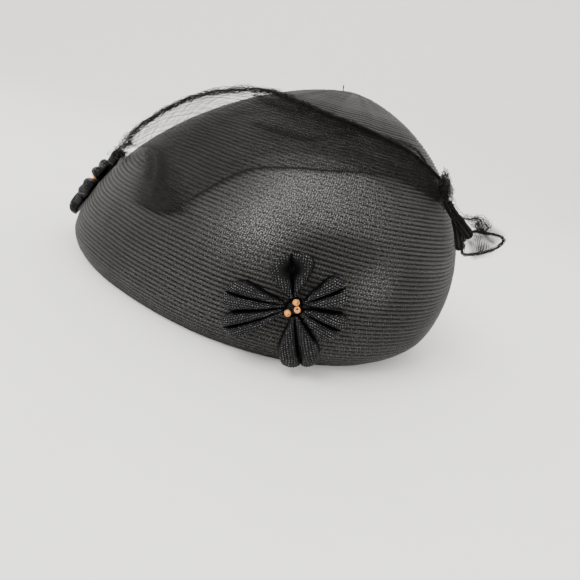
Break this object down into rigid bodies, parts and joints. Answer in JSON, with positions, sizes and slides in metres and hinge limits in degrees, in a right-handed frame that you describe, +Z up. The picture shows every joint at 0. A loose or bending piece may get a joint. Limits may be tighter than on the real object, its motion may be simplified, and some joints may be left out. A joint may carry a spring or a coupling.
{
  "type": "pillbox hat",
  "caption": "Rounded black straw pillbox cap with a net veil drawn across its crown and a folded braid flower at the front and at one end, standing on its hem.",
  "frame": {"origin": "on the floor under the hem, at the middle of the hat's box", "axes": "+X across the hat towards the veil's tail, -Y towards the front flower, +Z up"},
  "size_m": [0.2386, 0.2158, 0.1225],
  "materials": {
    "straw": "black ribbed straw cloth with a fine glitter",
    "braid": "black woven straw braid folded into petals",
    "net": "fine black veil net",
    "bead": "glossy amber gold bead"
  },
  "bodies": {
    "root": {"crown": "straw", "front_heart": "braid", "front_petal_top": "braid", "front_petal_left": "braid", "front_petal_lower_left": "braid", "front_petal_bottom": "braid", "front_petal_lower_right": "braid", "front_petal_right": "braid", "front_bead_1": "bead", "front_bead_2": "bead", "front_bead_3": "bead", "side_heart": "braid", "side_petal_top": "braid", "side_petal_left": "braid", "side_petal_lower_left": "braid", "side_petal_bottom": "braid", "side_petal_lower_right": "braid", "side_petal_right": "braid", "side_bead_1": "bead", "side_bead_2": "bead", "side_bead_3": "bead", "veil_net": "net", "veil_gather": "net", "veil_tuft": "net", "veil_knot": "net", "veil_tail": "net"}
  },
  "joints": []
}
